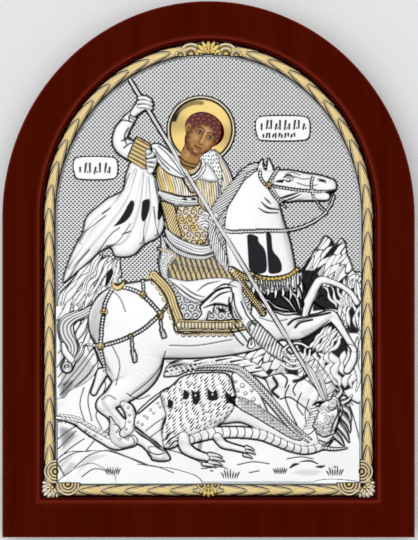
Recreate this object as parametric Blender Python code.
# An arched icon panel that lies on its back: a wooden board with a raised rim, one embossed sheet in its
# recess and a painted head behind an opening in the sheet. Blender 4.5, metres, +Z up, arch towards +Y.
import bpy
import numpy as np

# Driving dimensions, in metres
BOARD_WIDTH = 0.200
BOARD_HEIGHT = 0.260
BOARD_THICKNESS = 0.018
ARCH_RISE = 0.105            # height of the half ellipse above its springing line
EDGE_ROUND = 0.0012          # rounding of the board's outer edges
RIM_WIDTH = 0.0171           # flat face of the rim round the recess
LIP_WIDTH = 0.0022           # hollow moulding between the rim's face and the recess
RECESS_DEPTH = 0.0050
CLEARANCE = 0.0003           # gap between pieces that lie in one another
SHEET_BACKING = 0.0010       # the sheet's smooth field above its own back
BORDER_WIDTH = 0.0060        # the laurel band
BORDER_HEIGHT = 0.0021       # its crown above the field
BEVEL_WIDTH = 0.0014         # plain slope between the laurel and the field
LEAF_PITCH = 0.0117
LEAF_POINT = 0.0042          # how far a leaf's middle runs ahead of its edges
RELIEF_HEIGHT = 0.0036       # the highest figure above the field
HEAD_PLATE = 0.0012          # thickness of the painted plate
HEAD_RADIUS_X = 0.0094       # half width of the head's oval
HEAD_RADIUS_Y = 0.0115       # half height of the head's oval
HEAD_TILT = np.radians(-24)
NECK_RADIUS = 0.0048
HEAD_STEPS = 48              # straight pieces of the painted head's outline
ARCH_STEPS = 40              # straight pieces that the arch is made of
GRID_PITCH = 0.00085         # spacing of the points on which the relief is worked out
FIELD_TRIANGLES = 4950       # triangles left in the figures after simplifying
BOSS_SEGMENTS = 10           # sides of the bosses at the corners, foot and top
BOSS_RINGS = 6

# The figures are drawn on a sheet of this many units, which is fitted to the field
DRAWING_WIDTH = 302
DRAWING_HEIGHT = 421
HEAD_MIDDLE = (-7.5, 137.5)  # middle of the head's oval, in drawing units
NECK_MIDDLE = (-15.0, 110.0)

# Values that follow from them
half_width = BOARD_WIDTH / 2
foot_y = -BOARD_HEIGHT / 2
spring_y = BOARD_HEIGHT / 2 - ARCH_RISE
to_opening = RIM_WIDTH + LIP_WIDTH
floor_z = BOARD_THICKNESS - RECESS_DEPTH
back_z = floor_z + CLEARANCE
field_z = back_z + SHEET_BACKING
to_field = to_opening + CLEARANCE + BORDER_WIDTH + BEVEL_WIDTH
field_width = BOARD_WIDTH - 2 * to_field
field_height = BOARD_HEIGHT - 2 * to_field
UNIT = min(field_width / DRAWING_WIDTH, field_height / DRAWING_HEIGHT)


def clear_scene():
    for thing in list(bpy.data.objects):
        bpy.data.objects.remove(thing, do_unlink=True)


def collection(name, seen=True):
    made = bpy.data.collections.new(name)
    bpy.context.scene.collection.children.link(made)
    made.hide_render = not seen
    return made


def material(name, colour, metallic, roughness):
    made = bpy.data.materials.new(name)
    made.use_nodes = True
    shader = made.node_tree.nodes["Principled BSDF"]
    shader.inputs["Base Color"].default_value = (*colour, 1.0)
    shader.inputs["Metallic"].default_value = metallic
    shader.inputs["Roughness"].default_value = roughness
    return made


def mesh_object(name, points, faces, where, surface=None):
    mesh = bpy.data.meshes.new(name)
    mesh.from_pydata([tuple(p) for p in points], [], [tuple(f) for f in faces])
    mesh.validate()
    made = bpy.data.objects.new(name, mesh)
    where.objects.link(made)
    if surface:
        mesh.materials.append(surface)
    return made


def boolean(target, operation, other):
    step = target.modifiers.new(operation.title(), "BOOLEAN")
    step.operation = operation
    step.solver = "EXACT"
    step.object = other
    other.hide_render = True
    other.display_type = "WIRE"


# The arched outline at a distance inside the board's edge
def outline(inset):
    """Counterclockwise from the right end of the springing line, over the arch and along the foot."""
    angle = np.linspace(0, np.pi, ARCH_STEPS + 1)
    x = (half_width - inset) * np.cos(angle)
    y = spring_y + (ARCH_RISE - inset) * np.sin(angle)
    side = half_width - inset
    return np.stack([np.append(x, [-side, side]), np.append(y, [foot_y + inset, foot_y + inset])], axis=1)


def lofted(name, levels, where, surface=None):
    """A closed body whose skin passes through the outline at each (inset, z) of levels."""
    rings = [np.column_stack([outline(inset), np.full(ARCH_STEPS + 3, z)]) for inset, z in levels]
    count = ARCH_STEPS + 3
    faces = [range(count)[::-1]]
    for ring in range(len(rings) - 1):
        for i in range(count):
            j = (i + 1) % count
            low = ring * count
            faces.append((low + i, low + j, low + count + j, low + count + i))
    faces.append(range((len(rings) - 1) * count, len(rings) * count))
    return mesh_object(name, np.concatenate(rings), faces, where, surface)


# The wooden board
def board_levels():
    levels = [(EDGE_ROUND, 0.0)]
    for turn in np.radians([30, 60, 90]):
        levels.append((EDGE_ROUND * (1 - np.sin(turn)), EDGE_ROUND * (1 - np.cos(turn))))
    for turn in np.radians([0, 30, 60, 90]):
        inset = EDGE_ROUND * (1 - np.cos(turn))
        levels.append((inset, BOARD_THICKNESS - EDGE_ROUND * (1 - np.sin(turn))))
    for turn in np.radians([0, 30, 60, 90]):
        inset = RIM_WIDTH + LIP_WIDTH * np.sin(turn)
        levels.append((inset, BOARD_THICKNESS - LIP_WIDTH * (1 - np.cos(turn))))
    levels.append((to_opening, floor_z))
    return levels


# Drawing tools for the relief: heights on arrays of points, in drawing units and millimetres
def stations(rows, steps=4):
    """A smooth chain through rows of x, y, radius."""
    rows = np.asarray(rows, float)
    ends = np.concatenate([2 * rows[:1] - rows[1:2], rows, 2 * rows[-1:] - rows[-2:-1]])
    t = np.arange(steps)[:, None] / steps
    pieces = []
    for a, b, c, d in zip(ends, ends[1:], ends[2:], ends[3:]):
        pieces.append(b + 0.5 * t * (c - a + t * (2 * a - 5 * b + 4 * c - d + t * (3 * (b - c) + d - a))))
    pieces.append(rows[-1:])
    return np.concatenate(pieces)


def limb(x, y, rows, crown=0.55):
    """Height of a rounded limb: 0 outside, and inside a half circle flattened to crown * root of its radius."""
    chain = stations(rows)
    height = np.zeros(x.shape)
    for (ax, ay, ar), (bx, by, br) in zip(chain, chain[1:]):
        dx, dy = bx - ax, by - ay
        along = np.clip(((x - ax) * dx + (y - ay) * dy) / max(dx * dx + dy * dy, 1e-9), 0, 1)
        radius = np.maximum(ar + along * (br - ar), 0.3)
        away = np.hypot(x - ax - along * dx, y - ay - along * dy) / radius
        rise = crown * np.sqrt(0.48 * radius) * np.sqrt(np.clip(1 - away**2, 0, 1))
        height = np.maximum(height, rise)
    return height


def depth_inside(x, y, corners, steps=4):
    """Distance inside a smooth closed outline through corners, 0 outside."""
    rows = np.asarray([(*c, 0) for c in corners], float)
    rows = stations(np.concatenate([rows[-2:], rows, rows[:2]]), steps)
    loop = rows[2 * steps : -2 * steps - 1, :2]
    nearest = np.full(x.shape, 1e9)
    inside = np.zeros(x.shape, bool)
    for (ax, ay), (bx, by) in zip(loop, np.roll(loop, -1, axis=0)):
        dx, dy = bx - ax, by - ay
        along = np.clip(((x - ax) * dx + (y - ay) * dy) / max(dx * dx + dy * dy, 1e-9), 0, 1)
        nearest = np.minimum(nearest, np.hypot(x - ax - along * dx, y - ay - along * dy))
        crossed = (ay > y) != (by > y)
        level = np.where(crossed, (y - ay) / (dy if abs(dy) > 1e-9 else 1e-9), 0)
        inside ^= crossed & (x < ax + level * dx)
    return np.where(inside, nearest, 0)


def patch(x, y, corners, crown, shoulder):
    """Height of a flat patch with a rounded shoulder."""
    depth = np.clip(depth_inside(x, y, corners) / shoulder, 0, 1)
    return crown * np.sqrt(1 - (1 - depth) ** 2)


def waves(x, y, pitch, lean, depth):
    """Rounded folds at a pitch, whose crests lean from the vertical by an angle in degrees."""
    turn = np.radians(lean)
    return depth * np.cos(2 * np.pi * (x * np.cos(turn) + y * np.sin(turn)) / pitch)


def rays(x, y, from_x, from_y, count, depth):
    """Folds that spread from one point, count of them to the full circle."""
    return depth * np.cos(count * np.arctan2(y - from_y, x - from_x))


def group(x, y, ground, base, limbs=(), patches=(), crown=0.55, carving=0.0):
    """Lays one figure over the ground: its highest piece wherever it has one, from the height base up."""
    height = np.zeros(x.shape)
    for rows in limbs:
        height = np.maximum(height, limb(x, y, rows, crown))
    for corners, rise, shoulder in patches:
        height = np.maximum(height, patch(x, y, corners, rise, shoulder))
    carved = height + carving * np.clip(height / 0.4, 0, 1)
    return np.where(height > 0.02, np.maximum(ground * 0.35 + base, base) + carved, ground)


# The figures, as x, y, radius in drawing units from the sheet's middle
LANCE = [(-78, 189, 2.2), (115, -128, 2.2)]
HALO_MIDDLE = (-8, 140)
HALO_RADIUS = 34

# Each strand of rock is a bent limb between two points, bulging to one side by a share of its length
LEFT_STRANDS = [(-100, 10, -140, -30), (-98, -2, -142, -44), (-112, 14, -144, -10), (-100, -16, -140, -58),
                (-94, 4, -118, -34), (-110, -28, -134, -46)]
RIGHT_STRANDS = [(98, 2, 120, 30), (112, 0, 124, 26), (122, -2, 128, 22), (128, 0, 138, 26), (138, 0, 142, 14),
                 (106, -16, 138, 0), (116, -52, 142, -34), (122, -64, 142, -52)]
FOREGROUND_STRANDS = [(50, -88, 92, -100), (62, -102, 104, -108), (84, -112, 122, -110), (118, -116, 146, -150)]
HILLS = [[(-150, -138), (-126, -118), (-108, -102), (-104, -128), (-120, -150), (-150, -146)],
         [(-150, -192), (-134, -182), (-112, -182), (-88, -196), (-120, -206), (-150, -206)]]
GROUND = [(-152, -194), (-120, -183), (-95, -184), (-66, -198), (-20, -207), (40, -204), (90, -198),
          (150, -190), (150, -212), (-152, -212)]
CLOAK = [(-78, 105), (-88, 78), (-111, 64), (-126, 42), (-146, -12), (-136, -4), (-118, 10), (-98, 20),
         (-82, 13), (-52, 28), (-44, 46), (-52, 90), (-62, 102)]
HORSE = [
    [(-83, -52, 37), (-50, -50, 39), (-10, -49, 42), (30, -43, 42), (55, -36, 40)],
    [(55, -30, 36), (50, 18, 33), (46, 44, 30), (47, 67, 24), (56, 83, 16)],
    [(62, 84, 14), (79, 83, 16), (96, 83, 13), (110, 83, 11), (121, 84, 8)],
    [(86, 76, 9), (106, 74, 6), (119, 72, 4)],
    [(55, 96, 5), (53, 103, 3), (54, 110, 1)],
    [(62, 96, 5), (61, 103, 3), (60, 110, 1)],
    [(74, -54, 18), (92, -58, 12), (109, -52, 8), (124, -46, 6.5), (131, -54, 5), (145, -74, 5)],
    [(145, -80, 5), (145, -92, 6), (146, -100, 5)],
    [(-83, -72, 32), (-80, -94, 25), (-79, -112, 17), (-92, -127, 11), (-104, -135, 8)],
    [(-104, -136, 8), (-96, -145, 6.5), (-84, -156, 5.5), (-74, -166, 6.5), (-60, -176, 6), (-51, -184, 7)],
]
FAR_LEGS = [
    [(96, -42, 6), (102, -27, 5), (110, -16, 5), (120, -11, 4), (131, -13, 4), (141, -20, 4), (148, -30, 4)],
    [(-106, -104, 6), (-114, -122, 4)],
]
HORSE_TAIL = [(-116, -38, 4), (-126, -45, 5), (-137, -50, 6), (-143, -57, 8), (-141, -68, 8),
              (-136, -80, 7), (-137, -88, 7), (-142, -98, 7)]
MANE = [
    [(46, 99, 3), (30, 90, 5), (16, 76, 5), (8, 60, 4), (0, 54, 2)],
    [(34, 88, 4), (22, 70, 5), (14, 54, 5), (6, 42, 3)],
    [(22, 66, 4), (16, 44, 5), (12, 24, 5), (0, 12, 3)],
    [(16, 40, 3), (18, 16, 4), (14, 0, 3)],
]
SADDLE = [(-53, -8), (-36, -32), (-31, -62), (28, -62), (40, -52), (44, -34), (20, -2)]
TORSO = [[(-25, 96, 22), (-23, 77, 25), (-23, 54, 21), (-20, 32, 20)]]
NEAR_ARM = [(3, 103, 10), (10, 88, 9), (9, 72, 8), (2, 56, 7), (-8, 49, 5)]
SCARF = [(-54, 116, 4), (-44, 104, 7), (-30, 96, 8), (-12, 100, 7), (2, 112, 6)]
BELT = [(-45, 28, 4), (-30, 20, 4), (-12, 18, 4), (0, 22, 4)]
CAPE_EDGE = [(5, 118, 3), (14, 106, 3), (20, 94, 3), (23, 84, 3)]
SKIRT = [(-41, 36), (0, 22), (14, 4), (20, -13), (-33, -14), (-43, 4)]
LEG = [
    [(-24, -20, 14), (4, -22, 12), (25, -23, 8)],
    [(27, -25, 7), (32, -43, 8), (40, -57, 7), (51, -67, 9), (66, -78, 8), (76, -86, 6)],
]
RAISED_ARM = [
    [(-42, 106, 13), (-62, 110, 11), (-84, 119, 9), (-90, 129, 8), (-84, 143, 8), (-77, 153, 6.5)],
    [(-76, 156, 5), (-68, 164, 6), (-61, 168, 8)],
]
DRAGON_TAIL = [
    [(-153, -149, 2), (-136, -152, 3.5), (-121, -161, 5), (-106, -171, 5), (-91, -176, 6), (-77, -172, 6)],
    [(-87, -137, 4), (-78, -145, 5), (-77, -157, 5), (-83, -166, 4), (-95, -166, 4), (-98, -150, 3)],
]
DRAGON_BODY = [
    [(-70, -164, 8), (-59, -153, 14), (-40, -142, 24)],
    [(20, -147, 12), (40, -148, 11), (57, -156, 9), (74, -169, 8), (90, -177, 7), (104, -176, 8), (114, -168, 9)],
    [(120, -164, 13), (119, -148, 14), (113, -139, 9)],
    [(122, -128, 4), (129, -123, 3), (134, -121, 1.5)],
    [(-21, -168, 7), (-18, -182, 7), (-3, -187, 5), (9, -189, 4)],
    [(29, -165, 6), (35, -178, 5), (41, -185, 3)],
]
WING = [(-12, -104), (22, -106), (26, -124), (28, -140), (10, -157), (-16, -168), (-46, -178), (-60, -168),
        (-66, -150), (-50, -122), (-34, -110)]
CREST = [(28, -104, 5), (50, -122, 7), (70, -146, 7), (86, -162, 6), (96, -170, 4)]
REIN = [(2, 40, 1.8), (40, 38, 1.8), (80, 39, 1.8), (108, 50, 1.8), (122, 60, 1.8)]
BREAST_STRAP = [(40, -5, 2.4), (58, -10, 2.4), (76, -9, 2.4), (89, 0, 2.4)]
CARTOUCHES = [(-114, 101, 23, 12), (75, 141, 28, 13)]


def strand(low_x, low_y, high_x, high_y, bulge=0.16, thick=4.5):
    """A bent strand from one point to another, thickest in the middle."""
    step_x, step_y = high_x - low_x, high_y - low_y
    share = np.array([0, 0.3, 0.7, 1])
    aside = bulge * np.sin(np.pi * share)
    radius = thick * (0.35 + 0.65 * np.sin(np.pi * share))
    return np.stack([low_x + share * step_x - aside * step_y, low_y + share * step_y + aside * step_x, radius], 1)


def relief(x, y):
    """Height in millimetres above the field at x, y in drawing units. The figures are laid from back to front."""
    h = np.zeros(x.shape)
    for outline_points in HILLS:
        h = group(x, y, h, 0.1, patches=[(outline_points, 0.5, 8)])
    for ends in LEFT_STRANDS + RIGHT_STRANDS + FOREGROUND_STRANDS:
        h = group(x, y, h, 0.1, limbs=[strand(*ends)], crown=0.45)
    h = group(x, y, h, 0.1, patches=[(GROUND, 0.5, 8)])
    halo = np.hypot(x - HALO_MIDDLE[0], y - HALO_MIDDLE[1])
    h = np.where(halo < HALO_RADIUS, 0.7, h)
    h = np.where(np.abs(halo - HALO_RADIUS + 1.5) < 1.5, 1.1, h)
    for middle_x, middle_card_y, half_long, half_high in CARTOUCHES:
        over_x = np.maximum(np.abs(x - middle_x) - half_long + half_high, 0)
        inside = half_high - np.hypot(over_x, y - middle_card_y)
        h = np.where(inside > 0, np.clip(inside * 0.35, 0, 0.6), h)
    h = group(x, y, h, 0.4, patches=[(CLOAK, 0.9, 14)], carving=rays(x, y, -52, 112, 44, 0.17))
    h = group(x, y, h, 0.3, limbs=FAR_LEGS)
    h = group(x, y, h, 0.5, limbs=[HORSE_TAIL], carving=waves(x, y, 5.5, 20, 0.1))
    for rows in MANE:
        h = group(x, y, h, 0.2, limbs=[rows], crown=0.5)
    h = group(x, y, h, 0.3, limbs=DRAGON_TAIL[:1])
    h = group(x, y, h, 0.5, limbs=HORSE, crown=0.42)
    h = group(x, y, h, 0.3, limbs=DRAGON_TAIL[1:])
    h = group(x, y, h, 0.5, limbs=DRAGON_BODY, crown=0.5, carving=waves(x, y, 9, -15, 0.07))
    h = group(x, y, h, 0.6, patches=[(WING, 0.8, 16)], carving=waves(x, y, 8, -35, 0.13))
    h = group(x, y, h, 0.3, limbs=[CREST], carving=waves(x, y, 8, 60, 0.08))
    h = group(x, y, h, 0.2, limbs=[REIN, BREAST_STRAP], crown=0.4)
    h = group(x, y, h, 0.1, patches=[(SADDLE, 0.3, 5)])
    h = group(x, y, h, 0.1, patches=[(SKIRT, 0.4, 8)], carving=waves(x, y, 7.5, 15, 0.1))
    h = group(x, y, h, 0.5, limbs=LEG, crown=0.45, carving=waves(x, y, 11, -30, 0.07))
    h = group(x, y, h, 0.5, limbs=TORSO, crown=0.4)
    h = group(x, y, h, 0.1, limbs=[BELT, CAPE_EDGE], crown=0.3)
    h = group(x, y, h, 0.2, limbs=[NEAR_ARM], crown=0.4, carving=waves(x, y, 9, 70, 0.07))
    h = group(x, y, h, 0.5, limbs=RAISED_ARM, crown=0.4, carving=waves(x, y, 10, 30, 0.07))
    h = group(x, y, h, 0.1, limbs=[SCARF], crown=0.35)
    h = group(x, y, h, 0.5, limbs=[LANCE], crown=0.4)
    return h


# The figures' slab: a fine grid at these heights, simplified and cut to the arched field
def figure_slab(helpers):
    across = int(round(field_width / GRID_PITCH)) + 3
    up = int(round(field_height / GRID_PITCH)) + 3
    x, y = np.meshgrid(np.linspace(-0.5, 0.5, across) * (field_width + 2 * BEVEL_WIDTH),
                       np.linspace(-0.5, 0.5, up) * (field_height + 2 * BEVEL_WIDTH))
    heights = relief(x / UNIT, y / UNIT)
    heights = heights * (RELIEF_HEIGHT / heights.max())
    top = np.stack([x, y, field_z + heights], axis=-1).reshape(-1, 3)
    index = np.arange(across * up).reshape(up, across)
    quads = np.stack([index[:-1, :-1], index[:-1, 1:], index[1:, 1:], index[1:, :-1]], axis=-1).reshape(-1, 4)
    rim = np.concatenate([index[0, :-1], index[:-1, -1], index[-1, :0:-1], index[:0:-1, 0]])
    low = top[rim] * [1, 1, 0] + [0, 0, back_z - SHEET_BACKING]
    below = len(top) + np.arange(len(rim))
    walls = np.stack([rim, below, np.roll(below, -1), np.roll(rim, -1)], axis=1)
    faces = [*quads.tolist(), *walls.tolist(), below[::-1].tolist()]
    slab = mesh_object("silver_relief", np.concatenate([top, low]), faces, helpers)
    simpler = slab.modifiers.new("Simplify", "DECIMATE")
    simpler.ratio = FIELD_TRIANGLES / (2 * len(quads) + 3 * len(rim))
    return slab


# The laurel border: sections across the band, carried from the foot's corner up and over the arch
side_length = spring_y - foot_y - to_opening
arch_length = np.pi / 2 * np.hypot(half_width - to_opening, ARCH_RISE - to_opening) / np.sqrt(2)
half_path = side_length + arch_length


def frame_point(s, inset):
    """The point at inset from the board's edge, s along the right half from the foot's corner to the top."""
    share = np.clip((s - side_length) / arch_length, 0, 1) * np.pi / 2
    low = foot_y + inset
    rising = low + (spring_y - low) * np.clip(s / side_length, 0, 1)
    x = (half_width - inset) * np.cos(share)
    return x, np.where(s < side_length, rising, spring_y + (ARCH_RISE - inset) * np.sin(share))


def foot_point(s, inset):
    """The same along the foot, s from its middle to the right corner as a share of the half width."""
    return (half_width - inset) * s, foot_y + inset + 0 * s


def leaf_stations(length, from_share, to_share):
    """Where each leaf starts, swells and ends, and how high it stands there, as shares of a length."""
    count = max(int(round(length * (to_share - from_share) / LEAF_PITCH)), 2)
    begin = from_share + (to_share - from_share) * np.arange(count) / count
    step = (to_share - from_share) / count
    at = (begin[:, None] + step * np.array([0.06, 0.45, 0.94])).reshape(-1)
    return at, np.tile([0.35, 1.0, 0.75], count), LEAF_POINT / length


def border_ring(helpers, surface):
    across = np.array([0.0, 0.17, 0.5, 0.83, 1.0])
    swell = np.array([0.0, 0.65, 1.0, 0.65, 0.35])
    point = np.clip(1 - np.abs(across - 0.5) * 2, 0, 1)
    outer = to_opening + CLEARANCE
    insets = outer + BORDER_WIDTH * across

    def section(places, rise, lead, place_of):
        rows = []
        for place, high, ahead in zip(places, rise, lead):
            px, py = place_of(place + ahead * point, insets)
            z = field_z + BORDER_HEIGHT * swell * high
            inner_x, inner_y = place_of(place, outer + BORDER_WIDTH + 2 * BEVEL_WIDTH)
            first_x, first_y = place_of(place, outer)
            xs = [first_x, *px, float(inner_x), float(inner_x)]
            ys = [first_y, *py, float(inner_y), float(inner_y)]
            zs = [back_z, *z, field_z - 0.3 * SHEET_BACKING, back_z]
            rows.append(np.stack([xs, ys, zs], axis=1))
        return rows

    at, rise, lead = leaf_stations(half_path, 0.02, 0.93)
    side_at = np.concatenate([[0], at, [0.955, 0.985]])
    side_rise = np.concatenate([[1.0], rise, [0.5, 1.15]])
    side_lead = np.concatenate([[0], np.full(len(at), lead), [0, 0]])
    right = section(side_at * half_path, side_rise, side_lead * half_path, frame_point)
    left = [row * [-1, 1, 1] for row in right[::-1]]
    at, rise, lead = leaf_stations(half_width, 0.08, 0.94)
    foot_at = np.concatenate([[0.0, 0.05], at])
    foot_rise = np.concatenate([[1.15, 0.5], rise])
    foot_lead = np.concatenate([[0, 0], np.full(len(at), lead)])
    foot = section(foot_at, foot_rise, foot_lead, foot_point)
    foot_left = [row * [-1, 1, 1] for row in foot[:0:-1]]
    rows = [*right, *left, *foot_left, *foot]
    count, width = len(rows), len(rows[0])
    faces = []
    for i in range(count):
        j = (i + 1) % count
        for k in range(width):
            m = (k + 1) % width
            faces.append((i * width + k, j * width + k, j * width + m, i * width + m))
    return mesh_object("border_ring", np.concatenate(rows), faces, helpers, surface)


def boss(name, x, y, wide, long, high, helpers):
    """A low rounded boss on the border, as a flattened sphere."""
    bpy.ops.mesh.primitive_uv_sphere_add(segments=BOSS_SEGMENTS, ring_count=BOSS_RINGS, radius=1)
    made = bpy.context.object
    made.name = name
    made.scale = (wide / 2, long / 2, high)
    made.location = (x, y, field_z + 0.3 * BORDER_HEIGHT)
    for held in list(made.users_collection):
        held.objects.unlink(made)
    helpers.objects.link(made)
    return made


def border_bosses(helpers):
    mid = to_opening + CLEARANCE + BORDER_WIDTH / 2
    corner_x = half_width - mid
    wide = BORDER_WIDTH
    high = 0.8 * BORDER_HEIGHT
    top = -foot_y - mid
    return [
        boss("top_palmette", 0, top, wide, 1.05 * wide, high, helpers),
        boss("top_scroll_right", 1.4 * wide, top - 0.1 * wide, wide, 0.95 * wide, high, helpers),
        boss("top_scroll_left", -1.4 * wide, top - 0.1 * wide, wide, 0.95 * wide, high, helpers),
        boss("foot_palmette", 0, foot_y + mid, 1.4 * wide, 0.95 * wide, high, helpers),
        boss("corner_right", corner_x, foot_y + mid, 0.97 * wide, 0.97 * wide, high, helpers),
        boss("corner_left", -corner_x, foot_y + mid, 0.97 * wide, 0.97 * wide, high, helpers),
    ]


# The opening for the painted head: an oval and a round neck, as one outline about the oval's middle
head_x, head_y = UNIT * HEAD_MIDDLE[0], UNIT * HEAD_MIDDLE[1]
neck_x, neck_y = UNIT * NECK_MIDDLE[0], UNIT * NECK_MIDDLE[1]


def head_outline(grown):
    """The farther of the oval and the neck in each direction, both larger by grown."""
    angle = np.linspace(0, 2 * np.pi, HEAD_STEPS, endpoint=False)
    ux, uy = np.cos(angle), np.sin(angle)
    turned_x = ux * np.cos(HEAD_TILT) + uy * np.sin(HEAD_TILT)
    turned_y = uy * np.cos(HEAD_TILT) - ux * np.sin(HEAD_TILT)
    oval = 1 / np.hypot(turned_x / (HEAD_RADIUS_X + grown), turned_y / (HEAD_RADIUS_Y + grown))
    gap_x, gap_y = neck_x - head_x, neck_y - head_y
    ahead = ux * gap_x + uy * gap_y
    beside = np.abs(ux * gap_y - uy * gap_x)
    reach = (NECK_RADIUS + grown) ** 2 - beside**2
    neck = np.where((reach > 0) & (ahead > 0), ahead + np.sqrt(np.clip(reach, 0, None)), 0)
    far = np.maximum(oval, neck)
    return np.stack([head_x + far * ux, head_y + far * uy], axis=1)


def prism(name, loop, low, high, where, surface=None):
    count = len(loop)
    points = np.concatenate([np.column_stack([loop, np.full(count, z)]) for z in (low, high)])
    faces = [range(count)[::-1], range(count, 2 * count)]
    for i in range(count):
        j = (i + 1) % count
        faces.append((i, j, count + j, count + i))
    return mesh_object(name, points, faces, where, surface)


def build():
    clear_scene()
    panel = collection("icon_panel")
    helpers = collection("boolean_helpers", seen=False)
    wood = material("mahogany", (0.115, 0.018, 0.008), 0.0, 0.35)
    silver = material("silver", (0.86, 0.86, 0.84), 1.0, 0.25)
    paint = material("painted_face", (0.52, 0.27, 0.13), 0.0, 0.5)
    lofted("wood_panel", board_levels(), panel, wood)
    bosses = border_bosses(helpers)

    sheet = figure_slab(helpers)
    helpers.objects.unlink(sheet)
    panel.objects.link(sheet)
    sheet.data.materials.append(silver)
    top_z = BOARD_THICKNESS + RELIEF_HEIGHT
    cut_levels = [(to_field - 0.5 * BEVEL_WIDTH, back_z), (to_field - 0.5 * BEVEL_WIDTH, top_z)]
    boolean(sheet, "INTERSECT", lofted("field_cutter", cut_levels, helpers))
    ring = border_ring(helpers, silver)
    boolean(sheet, "UNION", ring)
    for each in bosses:
        boolean(sheet, "UNION", each)
    window = prism("head_window", head_outline(CLEARANCE), back_z - SHEET_BACKING, top_z, helpers)
    boolean(sheet, "DIFFERENCE", window)
    prism("painted_head", head_outline(0), back_z, back_z + HEAD_PLATE, panel, paint)


build()
